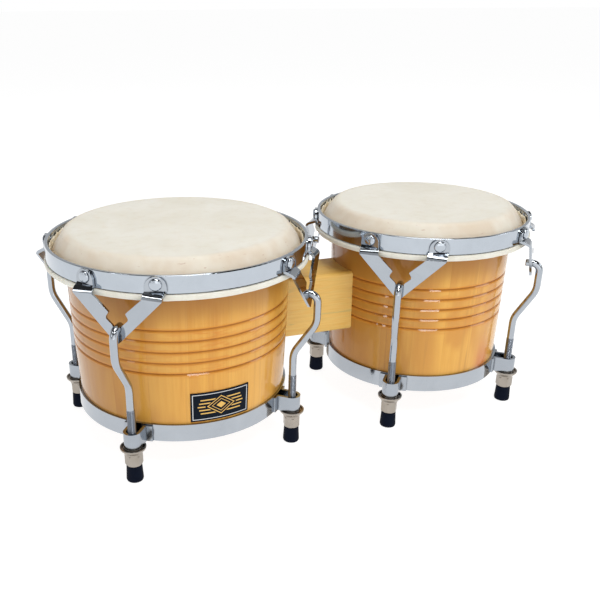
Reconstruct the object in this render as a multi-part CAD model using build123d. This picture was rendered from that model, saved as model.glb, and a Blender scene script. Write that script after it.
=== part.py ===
"""Pair of bongo drums: two wooden shells joined by a centre block, each with a
skin head held by a chromed rim, four claw plates, four J hooks and four lug nuts.

Millimetres, +Z up, +X from the large drum to the small one, -Y towards the player's
badge side. Z = 0 is the floor under the rubber feet.
"""

import os
from dataclasses import dataclass
from math import asin, cos, degrees, radians, sin

from build123d import *

# ------------------------------------------------------------------ overall layout
CENTRE_DISTANCE = 236.5     # between the two drum axes
HOOK_ANGLES = (-135.0, -45.0, 45.0, 135.0)

# ------------------------------------------------------------------ heights above the floor
FOOT_TOP = 15.3
NUT_BOTTOM = 15.5
NUT_TOP = 25.5
RING_BOTTOM = 32.0          # also the underside of the lugs
RING_TOP = 47.0
LUG_TOP = 46.0
SHELL_BOTTOM = 34.4         # the shell stands on the ring's inner lip
SHELL_WAIST = 118.0
BEARING_EDGE = 189.3        # top of the wooden shell
HEAD_TOP = 190.5            # playing surface
RIM_BOTTOM = 167.6
RIM_TOP = 182.1
HOOP_BOTTOM = 162.1
RIVET_Z = 175.8
GROOVES_Z = (131.0, 121.5, 112.0, 102.5, 93.0)

# ------------------------------------------------------------------ sections
SHELL_WALL = 9.6
SKIN = 1.2
RIM_WALL = 3.0
RING_LIP = 6.0
STRAP = 2.4                 # lug strap thickness
PLATE = 2.2                 # claw plate thickness
EDGE_R = 6.0                # rounding of the bearing edge
GROOVE_W = 2.8
GROOVE_DEPTH = 1.2

# ------------------------------------------------------------------ tension hardware
ROD_R = 3.2                 # smooth rod
THREAD_R = 3.45             # rolled M7 x 1 thread, crests
THREAD_TOP = 66.0
ROD_END = 6.0
NUT_BORE_R = 3.5
NUT_FLATS = 13.0
LUG_IN_R = 5.0
LUG_OFFSET = 12.0           # rod axis outside the bottom ring
S_LOW_Z = 86.5
S_HIGH_Z = 115.0
HOOK_Z = 141.0              # centre line of the hook's stub
HOOK_BEND = 7.0             # radius of the turn over the claw
S_BEND = 20.0               # radius of the two easy bends below it
HOOK_OUT = 13.8             # upper rod axis outside the rim
STUB_END = 1.0              # stub's end outside the rim
PLATE_OUT = 2.6             # top of the claw plate's inner face outside the rim
PLATE_LEAN = 5.0            # the plate leans outwards towards its notch, degrees
ARM_TOP = 165.0             # top of the claw plate, where the two bends to the tabs start
TAB_T = 28.5                # rivet's distance from the claw plate's centre line
TAB_W = 16.5
TAB_BOTTOM = 170.4
RIVET_R = 2.5

# ------------------------------------------------------------------ centre block
BLOCK_W = 46.0
BLOCK_BOTTOM = 79.0
BLOCK_TOP = 136.0
BOLT_R = 4.0
BOLT_HOLE_R = 4.2
BOLTS_Z = (95.0, 120.0)
BACKING = 2.5               # curved backing plate inside each shell


@dataclass
class Drum:
    """Radii of one drum, all in millimetres."""

    name: str
    x: float                # axis position
    lug_turns: tuple        # how far each lug, nut and foot is from HOOK_ANGLES, degrees
    claw_turns: tuple       # the same for each claw plate and hook top
    top_r: float            # wooden shell, outside, at the bearing edge
    waist_r: float
    foot_r: float           # wooden shell, outside, just above the bottom ring
    rim_r: float            # rim, outside
    ring_r: float           # bottom ring, outside

    @property
    def ring_in(self):
        return self.foot_r - 0.3

    @property
    def rod_r(self):
        return self.ring_r + LUG_OFFSET

    @property
    def tab_angle(self):
        return degrees(asin(TAB_T / self.rim_r))

    def lug_angles(self):
        return [a + turn for a, turn in zip(HOOK_ANGLES, self.lug_turns)]

    def claw_angles(self):
        return [a + turn for a, turn in zip(HOOK_ANGLES, self.claw_turns)]


LARGE = Drum("large", 0.0, (8.5, 4.5, 6.0, 13.7), (8.5, 6.5, 6.0, 12.5), 97.2, 95.8, 92.8, 112.0, 94.9)
SMALL = Drum("small", CENTRE_DISTANCE, (5.6, 3.0, 4.0, 8.5), (6.7, 5.0, 4.5, 5.0), 83.2, 82.2, 80.8, 97.6, 83.2)


# ------------------------------------------------------------------ helpers
def turned(outline):
    """Solid of revolution about Z from a closed outline drawn as (radius, height)."""
    return revolve(Plane.XZ * make_face(outline), Axis.Z, 360)


def poly(*points):
    """Closed polygon drawn as (radius, height)."""
    return Polyline(*points, close=True)


def rod(radius, bottom, top, x=0.0, y=0.0):
    return Pos(x, y, bottom) * Cylinder(radius, top - bottom, align=(Align.CENTER, Align.CENTER, Align.MIN))


def rod_x(radius, start, end, z):
    """Cylinder along X."""
    return Pos(start, 0, z) * Rot(0, 90, 0) * Cylinder(
        radius, end - start, align=(Align.CENTER, Align.CENTER, Align.MIN)
    )


def hexagon(flats, bottom, top):
    """Hexagonal prism with its corners turned off at both ends."""
    corner = flats / (2 * cos(radians(30)))
    prism = extrude(Pos(0, 0, bottom) * RegularPolygon(corner, 6), top - bottom)
    cut = 0.9
    barrel = turned(
        poly(
            (0, bottom),
            (flats / 2 - 0.1, bottom),
            (corner + 0.1, bottom + cut),
            (corner + 0.1, top - cut),
            (flats / 2 - 0.1, top),
            (0, top),
        )
    )
    return prism & barrel


def around(drum, piece, angle):
    """Turns a piece drawn at angle 0 about the origin and moves it to the drum's axis."""
    return Pos(drum.x, 0, 0) * Rot(0, 0, angle) * piece


# ------------------------------------------------------------------ wooden shell
def shell_radius(drum, z):
    """Outside radius of the un-grooved shell: a parabola through three stations."""
    stations = (
        (RING_TOP, drum.foot_r),
        (SHELL_WAIST, drum.waist_r),
        (BEARING_EDGE - EDGE_R, drum.top_r),
    )
    total = 0.0
    for i, (zi, ri) in enumerate(stations):
        weight = 1.0
        for j, (zj, _) in enumerate(stations):
            if j != i:
                weight *= (z - zj) / (zi - zj)
        total += weight * ri
    return total


def shell_side(drum, grooved):
    """Outside line of the shell from the bottom ring up, with or without its turned grooves."""
    half = GROOVE_W / 2
    last = (drum.foot_r, RING_TOP)
    edges = []
    for z in sorted(GROOVES_Z):
        low = (shell_radius(drum, z - half), z - half)
        high = (shell_radius(drum, z + half), z + half)
        edges.append(Line(last, low))
        if grooved:
            edges.append(ThreePointArc(low, (shell_radius(drum, z) - GROOVE_DEPTH, z), high))
        else:
            edges.append(Line(low, high))
        last = high
    middle = (last[1] + BEARING_EDGE - EDGE_R) / 2
    edges.append(Line(last, (shell_radius(drum, middle), middle)))
    edges.append(Line((shell_radius(drum, middle), middle), (drum.top_r, BEARING_EDGE - EDGE_R)))
    return edges


def shell_blank(drum, inner=True, grooved=False):
    """Tapered, slightly barrelled shell with a rounded bearing edge; solid if inner is false."""
    side = shell_side(drum, grooved)
    edge = CenterArc((drum.top_r - EDGE_R, BEARING_EDGE - EDGE_R), EDGE_R, 0, 90)
    if inner:
        rest = Polyline(
            (drum.top_r - EDGE_R, BEARING_EDGE),
            (drum.top_r - SHELL_WALL + 1.2, BEARING_EDGE),
            (drum.top_r - SHELL_WALL, BEARING_EDGE - 2.0),
            (drum.foot_r - SHELL_WALL, SHELL_BOTTOM),
            (drum.ring_in, SHELL_BOTTOM),
            (drum.ring_in, RING_TOP),
            (drum.foot_r, RING_TOP),
        )
    else:
        rest = Polyline(
            (drum.top_r - EDGE_R, BEARING_EDGE),
            (0, BEARING_EDGE),
            (0, RING_TOP),
            (drum.foot_r, RING_TOP),
        )
    return turned([*side, edge, rest])


def shell(drum):
    body = Pos(drum.x, 0, 0) * shell_blank(drum, grooved=True)
    for z in BOLTS_Z:
        body -= rod_x(BOLT_HOLE_R, 60, CENTRE_DISTANCE - 50, z)
    return body


# ------------------------------------------------------------------ skin, hoop and rim
def head(drum):
    """Animal skin: flat playing surface, rounded over the edge, flaring out to the hoop."""
    cx = drum.top_r - EDGE_R
    cz = BEARING_EDGE - EDGE_R
    gap = 0.02

    def side(radius, offset):
        lean = 35.0
        over = CenterArc((cx, cz), radius, lean, 90.0 - lean)
        bend = (cx + radius * cos(radians(lean)), cz + radius * sin(radians(lean)))
        skirt = Spline(
            bend,
            (drum.top_r + 6.7 + offset, 177.7),
            (drum.top_r + 8.9 + offset, 172.0),
            (drum.top_r + 9.2 + offset, RIM_BOTTOM + 0.3),
        )
        return over, skirt

    outer = side(EDGE_R + gap + SKIN, 0.0)
    inner = side(EDGE_R + gap, -SKIN)
    cap = Polyline(
        (cx, BEARING_EDGE + gap),
        (0, BEARING_EDGE + gap),
        (0, HEAD_TOP + gap),
        (cx, HEAD_TOP + gap),
    )
    hem = Line(outer[1] @ 1, inner[1] @ 1)
    skin = turned([cap, *outer, hem, *inner])
    return Pos(drum.x, 0, 0) * skin


def flesh_hoop(drum):
    """Steel hoop wrapped in the skin, with the skin's trimmed end standing up inside the rim."""
    inside = drum.rim_r - RIM_WALL - 3.6
    outside = drum.rim_r + 1.6
    profile = poly(
        (inside, HOOP_BOTTOM),
        (outside, HOOP_BOTTOM),
        (outside, RIM_BOTTOM),
        (inside, RIM_BOTTOM),
    )
    ring = turned(profile)
    ring = fillet(
        [e for e in ring.edges() if abs(e.center().Z - HOOP_BOTTOM) < 0.01 and e.geom_type == GeomType.CIRCLE],
        2.4,
    )
    tail_out = drum.rim_r - RIM_WALL - 0.7
    tail = turned(
        poly(
            (tail_out - SKIN, RIM_BOTTOM - 1.0),
            (tail_out, RIM_BOTTOM - 1.0),
            (tail_out, 177.0),
            (tail_out - SKIN, 177.0),
        )
    )
    return Pos(drum.x, 0, 0) * (ring + tail)


def rivet_places(drum):
    """Angles of the eight rivets round the rim."""
    return [a + side * drum.tab_angle for a in drum.claw_angles() for side in (-1, 1)]


def rivet(drum, clearance=0.0):
    """Button-headed rivet along +X at angle 0, from inside the rim to outside the claw's tab."""
    start = drum.rim_r - RIM_WALL
    face = drum.rim_r + PLATE
    if clearance:
        return rod_x(RIVET_R + clearance, start - 1.0, face + 1.0, RIVET_Z)
    dome = turned(
        [
            Polyline((2.2, 2.6), (0, 2.6), (0, 0), (5.0, 0), (4.8, 1.1)),
            ThreePointArc((4.8, 1.1), (3.8, 2.15), (2.2, 2.6)),
        ]
    )
    button = Pos(face, 0, RIVET_Z) * Rot(0, 90, 0) * dome
    shank = rod_x(RIVET_R, start - 0.1, face + 0.1, RIVET_Z)
    tail = rod_x(4.0, start - 0.6, start - 0.1, RIVET_Z)
    return shank + button + tail


def rim(drum):
    band = turned(
        poly(
            (drum.rim_r - RIM_WALL, RIM_BOTTOM),
            (drum.rim_r, RIM_BOTTOM),
            (drum.rim_r, RIM_TOP),
            (drum.rim_r - RIM_WALL, RIM_TOP),
        )
    )
    band = fillet([e for e in band.edges() if e.geom_type == GeomType.CIRCLE], 0.8)
    for angle in rivet_places(drum):
        band -= Rot(0, 0, angle) * rivet(drum, clearance=0.05)
    return Pos(drum.x, 0, 0) * band


def rivets(drum):
    return Compound([around(drum, rivet(drum), angle) for angle in rivet_places(drum)])


# ------------------------------------------------------------------ claw plate and hook
def plate_plane(drum):
    """Inner face of the claw plate: origin at its top, x along the rim, y up the plate."""
    lean = radians(PLATE_LEAN)
    return Plane(origin=(drum.rim_r + PLATE_OUT, 0, ARM_TOP), x_dir=(0, 1, 0), z_dir=(cos(lean), 0, sin(lean)))


def claw(drum):
    """V-shaped claw plate: two riveted tabs, bent out over the hoop, and two arms meeting at a notch."""
    notch_z = HOOK_Z + 0.1
    notch_r = ROD_R + 0.15
    points = (
        (-TAB_T - TAB_W / 2 + 0.6, ARM_TOP),
        (-TAB_T + TAB_W / 2, ARM_TOP),
        (-6.8, 152.8),
        (-8.8, 149.4),
        (-8.8, 147.4),
        (-notch_r, notch_z + 1.6),
        (-notch_r, notch_z),
        (notch_r, notch_z),
        (notch_r, notch_z + 1.6),
        (8.8, 147.4),
        (8.8, 149.4),
        (6.8, 152.8),
        (TAB_T - TAB_W / 2, ARM_TOP),
        (TAB_T + TAB_W / 2 - 0.6, ARM_TOP),
        (1.6, 129.0),
        (0, 128.2),
        (-1.6, 129.0),
    )
    outline = Polyline(*[(u, z - ARM_TOP) for u, z in points], close=True)
    plate = extrude(plate_plane(drum) * make_face(outline), PLATE)
    plate -= rod_x(notch_r, drum.rim_r, drum.rim_r + 14, notch_z)

    for side in (-1, 1):
        turn = Rot(0, 0, side * drum.tab_angle)
        tab_plane = Plane(origin=(drum.rim_r, 0, 0), x_dir=(0, 1, 0), z_dir=(1, 0, 0))
        blank = Pos(0, (TAB_BOTTOM + RIM_TOP - 0.3) / 2) * Rectangle(TAB_W, RIM_TOP - 0.3 - TAB_BOTTOM)
        blank = fillet(blank.vertices().group_by(Axis.Y)[-1], 6.4)
        tab = turn * extrude(tab_plane * blank, PLATE)
        inner_x = drum.rim_r + PLATE_OUT
        low = Pos(inner_x + PLATE / 2, side * (TAB_T - 0.3), ARM_TOP) * Rectangle(PLATE, TAB_W - 0.6)
        mid_x = (inner_x + drum.rim_r * cos(radians(drum.tab_angle))) / 2
        mid = Pos(mid_x + 1.7, side * TAB_T, 168.2) * Rot(0, 0, side * drum.tab_angle / 2) * Rectangle(3.0, TAB_W)
        high = turn * Pos(drum.rim_r + PLATE / 2, 0, TAB_BOTTOM) * Rectangle(PLATE, TAB_W)
        jog = loft([low, mid, high], ruled=True)
        plate += tab + jog
        plate -= turn * rivet(drum, clearance=0.05)
    return plate


def hook(drum, lug_angle, claw_angle):
    """J hook: threaded foot, S bend out past the rim, and a stub turned in over the claw's notch."""

    def at(radius, angle):
        return Vector(radius * cos(radians(angle)), radius * sin(radians(angle)), 0)

    low = at(drum.rod_r, lug_angle)
    high = at(drum.rim_r + HOOK_OUT, claw_angle)
    out = high - low
    start = THREAD_TOP - 4.0
    join = (S_HIGH_Z + HOOK_Z) / 2

    def upright(origin, along):
        """Vertical plane: x along a level direction, y up."""
        return Plane(origin=origin, x_dir=along, z_dir=along.cross(Vector(0, 0, 1)))

    s_part = upright(low, out.normalized()) * FilletPolyline(
        (0, start), (0, S_LOW_Z), (out.length, S_HIGH_Z), (out.length, join), radius=S_BEND
    )
    top_part = upright(high, at(-1, claw_angle)) * FilletPolyline(
        (0, join), (0, HOOK_Z), (HOOK_OUT - STUB_END, HOOK_Z), radius=HOOK_BEND
    )
    path = Wire([*s_part.edges(), *top_part.edges()])
    section = Plane(origin=low + Vector(0, 0, start), z_dir=(0, 0, 1)) * Circle(ROD_R)
    bar = sweep(section, path=path)
    thread = turned(
        poly(
            (0, ROD_END),
            (THREAD_R - 0.8, ROD_END),
            (THREAD_R, ROD_END + 0.8),
            (THREAD_R, THREAD_TOP - 1.0),
            (ROD_R, THREAD_TOP),
            (0, THREAD_TOP),
        )
    )
    return Pos(drum.x, 0, 0) * (bar + Pos(low.X, low.Y, 0) * thread)


# ------------------------------------------------------------------ bottom ring and its hardware
def bottom_ring(drum):
    """Angle-section ring: an upright band with a lip under the shell."""
    outline = poly(
        (drum.ring_in - RING_LIP, RING_BOTTOM),
        (drum.ring_r, RING_BOTTOM),
        (drum.ring_r, RING_TOP),
        (drum.ring_in, RING_TOP),
        (drum.ring_in, SHELL_BOTTOM),
        (drum.ring_in - RING_LIP, SHELL_BOTTOM),
    )
    return Pos(drum.x, 0, 0) * turned(outline)


def lug(drum):
    """Strap bent into a loop round the rod, with two feet welded to the bottom ring."""
    height = LUG_TOP - RING_BOTTOM
    out_r = LUG_IN_R + STRAP
    base = drum.ring_r - 4.0
    outer = Pos(drum.rod_r, 0) * Circle(out_r) + Pos((base + drum.rod_r) / 2, 0) * Rectangle(
        drum.rod_r - base, 2 * out_r
    )
    inner = Pos(drum.rod_r, 0) * Circle(LUG_IN_R) + Pos((base + drum.rod_r) / 2, 0) * Rectangle(
        drum.rod_r - base, 2 * LUG_IN_R
    )
    loop = extrude(Pos(0, 0, RING_BOTTOM) * (outer - inner), height)
    foot_w = 2 * (out_r + 5.0)
    feet = extrude(Pos(drum.ring_r, 0, RING_BOTTOM) * Rectangle(8.0, foot_w), height)
    feet &= rod(drum.ring_r + 1.8, RING_BOTTOM, LUG_TOP)
    feet -= extrude(Pos(drum.ring_r, 0, RING_BOTTOM) * Rectangle(9.0, 2 * LUG_IN_R), height)
    return (loop + feet) - rod(drum.ring_r, RING_BOTTOM - 1, RING_TOP + 1)


def lugs(drum):
    return Compound([around(drum, lug(drum), angle) for angle in drum.lug_angles()])


def washer():
    """Dished washer: a ledge for the lug, a shallow groove round it and a turned-up rim."""
    top = RING_BOTTOM
    return turned(
        poly(
            (3.9, NUT_TOP),
            (7.4, NUT_TOP),
            (7.6, NUT_TOP + 1.6),
            (10.6, top - 1.6),
            (10.8, top - 0.1),
            (9.6, top - 0.1),
            (9.2, top - 1.4),
            (8.0, top - 1.4),
            (7.8, top),
            (3.9, top),
        )
    )


def washers(drum):
    return Compound([around(drum, Pos(drum.rod_r, 0, 0) * washer(), angle) for angle in drum.lug_angles()])


def nut(drum):
    body = hexagon(NUT_FLATS, NUT_BOTTOM, NUT_TOP) - rod(NUT_BORE_R, NUT_BOTTOM - 1, NUT_TOP + 1)
    return Pos(drum.rod_r, 0, 0) * body


def foot(drum):
    """Rubber ferrule pushed onto the end of the rod."""
    body = turned(
        poly(
            (0, 0),
            (5.6, 0),
            (6.8, 0.7),
            (7.2, 2.0),
            (6.5, FOOT_TOP - 0.5),
            (6.1, FOOT_TOP),
            (0, FOOT_TOP),
        )
    )
    body -= rod(THREAD_R + 0.02, ROD_END, FOOT_TOP + 1)
    return Pos(drum.rod_r, 0, 0) * body


# ------------------------------------------------------------------ centre block and its fixings
def centre_block():
    """Hardwood block with both ends hollowed to fit the shells."""
    start = 80.0
    end = CENTRE_DISTANCE - 66.0
    block = Pos((start + end) / 2, 0, (BLOCK_BOTTOM + BLOCK_TOP) / 2) * Box(
        end - start, BLOCK_W, BLOCK_TOP - BLOCK_BOTTOM
    )
    block = fillet(block.edges().filter_by(Axis.X), 3.0)
    for drum in (LARGE, SMALL):
        block -= Pos(drum.x, 0, 0) * shell_blank(drum, inner=False)
    for z in BOLTS_Z:
        block -= rod_x(BOLT_HOLE_R, start - 5, end + 5, z)
    return block


def inner_radius(drum, z):
    """Inside radius of the shell's straight tapered bore."""
    low = drum.foot_r - SHELL_WALL
    high = drum.top_r - SHELL_WALL
    return low + (high - low) * (z - SHELL_BOTTOM) / (BEARING_EDGE - 2.0 - SHELL_BOTTOM)


def backing_plate(drum, side):
    """Steel plate curved to the inside of the shell, spreading the bolts' load."""
    z0 = 84.0
    z1 = 131.0
    outer = turned(
        poly(
            (0, z0),
            (inner_radius(drum, z0), z0),
            (inner_radius(drum, z1), z1),
            (0, z1),
        )
    )
    cut = rod(inner_radius(drum, z0) - BACKING, z0 - 1, z1 + 1)
    window = Pos(side * drum.top_r * 0.8, 0, (z0 + z1) / 2) * Box(drum.top_r, 30, z1 - z0)
    plate = Pos(drum.x, 0, 0) * ((outer - cut) & window)
    for z in BOLTS_Z:
        plate -= rod_x(BOLT_HOLE_R, 60, CENTRE_DISTANCE - 50, z)
    return plate


def bolt_ends():
    """X of the bearing face under the bolt heads, and of the face under the nuts."""
    head_face = inner_radius(LARGE, 84.0) - BACKING - 0.4
    nut_face = CENTRE_DISTANCE - (inner_radius(SMALL, 84.0) - BACKING - 0.4)
    return head_face, nut_face


def block_bolts():
    head_face, nut_face = bolt_ends()
    bolts = []
    for z in BOLTS_Z:
        hexed = Pos(head_face, 0, z) * Rot(0, 90, 0) * hexagon(13.0, -5.5, 0.0)
        shank = rod_x(BOLT_R, head_face - 0.5, nut_face + 11.0, z)
        bolts.append(hexed + shank)
    return Compound(bolts)


def block_nuts():
    _, nut_face = bolt_ends()
    nuts = []
    for z in BOLTS_Z:
        body = Pos(nut_face, 0, z) * Rot(0, 90, 0) * hexagon(13.0, 0.0, 6.5)
        nuts.append(body - rod_x(BOLT_R + 0.02, nut_face - 1, nut_face + 8, z))
    return Compound(nuts)


def badge():
    """Thin printed plate curved round the large shell, just above the bottom ring."""
    z0 = 48.8
    z1 = 75.2
    half = 15.6
    thick = 0.8
    base = shell_blank(LARGE, inner=False)
    outer = turned(
        poly(
            (0, z0),
            (shell_radius(LARGE, z0) + thick, z0),
            (shell_radius(LARGE, z1) + thick, z1),
            (0, z1),
        )
    )
    wedge = extrude(
        Pos(0, 0, z0)
        * make_face(
            Polyline(
                (0, 0),
                (120 * cos(radians(half)), -120 * sin(radians(half))),
                (120 * cos(radians(half)), 120 * sin(radians(half))),
                close=True,
            )
        ),
        z1 - z0,
    )
    return Rot(0, 0, -84.3) * ((outer & wedge) - base)


# ------------------------------------------------------------------ assembly
def build():
    parts = {}
    for drum in (LARGE, SMALL):
        name = drum.name
        parts[f"{name}_shell"] = shell(drum)
        parts[f"{name}_head"] = head(drum)
        parts[f"{name}_flesh_hoop"] = flesh_hoop(drum)
        parts[f"{name}_rim"] = rim(drum)
        parts[f"{name}_rivets"] = rivets(drum)
        parts[f"{name}_bottom_ring"] = bottom_ring(drum)
        parts[f"{name}_lugs"] = lugs(drum)
        parts[f"{name}_washers"] = washers(drum)
        parts[f"{name}_backing_plate"] = backing_plate(drum, 1 if drum is LARGE else -1)
        angles = zip(drum.lug_angles(), drum.claw_angles())
        for number, (lug_angle, claw_angle) in enumerate(angles, start=1):
            parts[f"{name}_claw_{number}"] = around(drum, claw(drum), claw_angle)
            parts[f"{name}_hook_{number}"] = hook(drum, lug_angle, claw_angle)
            parts[f"{name}_nut_{number}"] = around(drum, nut(drum), lug_angle)
            parts[f"{name}_foot_{number}"] = around(drum, foot(drum), lug_angle)
    parts["centre_block"] = centre_block()
    parts["block_bolts"] = block_bolts()
    parts["block_nuts"] = block_nuts()
    parts["badge"] = badge()
    return parts


def centred(parts):
    """Moves everything so that the origin is under the middle of the bounding box."""
    boxes = [p.bounding_box() for p in parts.values()]
    x = (min(b.min.X for b in boxes) + max(b.max.X for b in boxes)) / 2
    y = (min(b.min.Y for b in boxes) + max(b.max.Y for b in boxes)) / 2
    z = min(b.min.Z for b in boxes)
    print("large drum's axis at", round(-x, 4), round(-y, 4), "floor offset", round(z, 6))
    return {name: Pos(-x, -y, -z) * p for name, p in parts.items()}


os.makedirs("parts", exist_ok=True)
for node, solid in centred(build()).items():
    export_step(solid, f"parts/{node}.step")
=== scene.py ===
"""Pair of bongo drums: looks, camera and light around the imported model.

The model's own frame: +X from the large drum to the small one, +Z up, -Y towards the badge.
Sizes below are in millimetres, and Drum.place() takes them to the frame's metres.
"""

import math

import bmesh
import bpy
from mathutils import Matrix, Vector, noise


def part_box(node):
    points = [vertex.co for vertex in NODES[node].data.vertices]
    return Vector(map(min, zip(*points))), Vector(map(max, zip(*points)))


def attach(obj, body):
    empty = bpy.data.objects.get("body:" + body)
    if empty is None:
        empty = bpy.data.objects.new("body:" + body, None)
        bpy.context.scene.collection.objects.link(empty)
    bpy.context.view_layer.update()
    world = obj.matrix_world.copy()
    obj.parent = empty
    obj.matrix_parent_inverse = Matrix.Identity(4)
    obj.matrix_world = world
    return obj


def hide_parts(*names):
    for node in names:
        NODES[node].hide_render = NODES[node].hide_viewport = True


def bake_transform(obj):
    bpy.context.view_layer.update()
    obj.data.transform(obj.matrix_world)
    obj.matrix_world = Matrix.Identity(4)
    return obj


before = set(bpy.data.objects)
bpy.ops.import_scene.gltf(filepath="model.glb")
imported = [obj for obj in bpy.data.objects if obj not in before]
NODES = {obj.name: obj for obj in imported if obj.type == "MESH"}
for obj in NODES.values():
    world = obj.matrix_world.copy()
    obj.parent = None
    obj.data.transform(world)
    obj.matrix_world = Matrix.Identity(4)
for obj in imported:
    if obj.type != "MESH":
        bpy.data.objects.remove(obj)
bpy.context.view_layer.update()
MM = 0.001
ROOT = "shells"         # the body of both shells

# ------------------------------------------------------------------ sizes, as the parts have them
HOOK_ANGLES = (-135, -45, 45, 135)      # degrees round each drum, before a hook's own small turn

# shell, its bottom ring and its turned grooves
RING_TOP = 47.0
SHELL_BOTTOM = 34.4
SHELL_WAIST = 118.0
SHELL_WALL = 9.6
BEARING_EDGE = 189.3
EDGE_R = 6.0
GROOVE_STEP = 9.5
GROOVES_Z = tuple(93.0 + GROOVE_STEP * i for i in range(5))
GROOVE = (      # (distance from its middle, depth): round bottom, straight flank, round lip
    (0.0, 1.20), (0.06, 1.18), (0.12, 1.13), (0.16, 1.098),
    (1.38, 0.088), (1.42, 0.055), (1.52, 0.02), (1.70, 0.0),
)

# skin, hoop and rim
SKIN = 1.2
SKIN_GAP = 0.02         # between the skin and the shell's edge
HEAD_TOP = BEARING_EDGE + SKIN_GAP + SKIN
RIM_BOTTOM = 167.6
RIM_TOP = 182.1
RIM_WALL = 3.0
HOOP_BOTTOM = 162.1
RIVET_Z = 175.8
FLARE_Z = 177.7         # where the skin has turned over the shell's edge
SKIRT_Z = 172.0         # where it stands nearly upright, inside the rim
FRINGE_TOP = 178.3      # of its cut end, before the unevenness

# claw plates
TAB_T = 28.5            # a tab's distance from the plate's centre line
TAB_W = 16.5
TAB_BOTTOM = 170.4
PLATE = 2.2
PLATE_OUT = 2.6
PLATE_LEAN = math.radians(5.0)
ARM_TOP = 165.0

# hooks
LUG_OFFSET = 12.0       # a rod's axis outside the bottom ring
ROD_R = 3.2
ROD_END = 6.0
THREAD_PITCH = 1.0
THREAD_CREST = 3.45
THREAD_ROOT = 2.95
THREAD_BOTTOM = 29.0    # inside the washers; the rod is plain below it
THREAD_TOP = 66.0
S_LOW_Z = 86.5
S_HIGH_Z = 115.0
S_BEND = 20.0
HOOK_Z = 141.0
HOOK_BEND = 7.0
HOOK_OUT = 13.8
STUB_END = 1.0

# badge
BADGE_ANGLE = math.radians(-84.3)
BADGE_HALF = math.radians(15.6)
BADGE_Z = (48.8, 75.2)
BADGE_OUT = 0.9         # its face outside the shell's foot


class Drum:
    def __init__(self, name, lug_turns, claw_turns, top_r, waist_r, foot_r, rim_r, ring_r, cuts):
        self.name = name
        self.lug_turns = lug_turns
        self.claw_turns = claw_turns
        self.top_r = top_r
        self.waist_r = waist_r
        self.foot_r = foot_r
        self.rim_r = rim_r
        self.rod_r = ring_r + LUG_OFFSET
        self.cuts = cuts
        low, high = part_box(f"{name}_rim")
        self.x = (low.x + high.x) / 2 / MM
        self.y = (low.y + high.y) / 2 / MM
        self.rim_body = f"{name}_rim_assembly"
        self.tab_angle = math.asin(TAB_T / rim_r)

    def lug_angles(self):
        return [math.radians(a + turn) for a, turn in zip(HOOK_ANGLES, self.lug_turns)]

    def claw_angles(self):
        return [math.radians(a + turn) for a, turn in zip(HOOK_ANGLES, self.claw_turns)]

    def place(self, angle=0.0):
        """Matrix from millimetres about this drum's axis, turned by angle, to the model's frame."""
        return (
            Matrix.Translation((self.x * MM, self.y * MM, 0))
            @ Matrix.Rotation(angle, 4, "Z")
            @ Matrix.Scale(MM, 4)
        )


# turns are in degrees, and cuts are the grooves' depths, lowest first, as shares of GROOVE's
LARGE = Drum(
    "large",
    lug_turns=(8.5, 4.5, 6.0, 13.7),
    claw_turns=(8.5, 6.5, 6.0, 12.5),
    top_r=97.2,
    waist_r=95.8,
    foot_r=92.8,
    rim_r=112.0,
    ring_r=94.9,
    cuts=(1.04, 0.8, 0.8, 0.8, 0.8),
)
SMALL = Drum(
    "small",
    lug_turns=(5.6, 3.0, 4.0, 8.5),
    claw_turns=(6.7, 5.0, 4.5, 5.0),
    top_r=83.2,
    waist_r=82.2,
    foot_r=80.8,
    rim_r=97.6,
    ring_r=83.2,
    cuts=(1, 1, 1, 1, 1),
)
DRUMS = (LARGE, SMALL)

# ------------------------------------------------------------------ camera
CAMERA_PITCH = math.radians(23.09)      # looking down
CAMERA_ROLL = math.radians(-0.47)
CAMERA_HEADING = (0.2999, 0.9540)
CAMERA_PLACE = (-0.1405, -0.6109, 0.3638)       # metres, from the foot of the large drum's axis
CAMERA_LENS = 45.14
CAMERA_SHIFT = (0.1076, 0.0373)


def make_camera():
    """A view from the left of the drums' front, 23 degrees above them."""
    forward = Vector((*CAMERA_HEADING, 0)).normalized() * math.cos(CAMERA_PITCH)
    forward.z = -math.sin(CAMERA_PITCH)
    right = forward.cross(Vector((0, 0, 1))).normalized()
    up = right.cross(forward)
    rolled_right = right * math.cos(CAMERA_ROLL) + up * math.sin(CAMERA_ROLL)
    rolled_up = up * math.cos(CAMERA_ROLL) - right * math.sin(CAMERA_ROLL)
    turn = Matrix((rolled_right, rolled_up, -forward)).transposed().to_4x4()
    data = bpy.data.cameras.new("camera")
    data.sensor_width = 36.0
    data.lens = CAMERA_LENS
    data.shift_x, data.shift_y = CAMERA_SHIFT
    data.clip_start = 0.01
    data.clip_end = 100
    camera = bpy.data.objects.new("camera", data)
    place = Vector((LARGE.x * MM, LARGE.y * MM, 0)) + Vector(CAMERA_PLACE)
    camera.matrix_world = Matrix.Translation(place) @ turn
    bpy.context.scene.collection.objects.link(camera)
    bpy.context.scene.camera = camera


# ------------------------------------------------------------------ meshes
TURNED, LAPPED, FRAYED = 288, 360, 540      # segments of a lathed piece, more where it is uneven


def wobble(*at):
    """Smooth noise from about -1 to 1 at a point."""
    return noise.noise(Vector(at))


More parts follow.
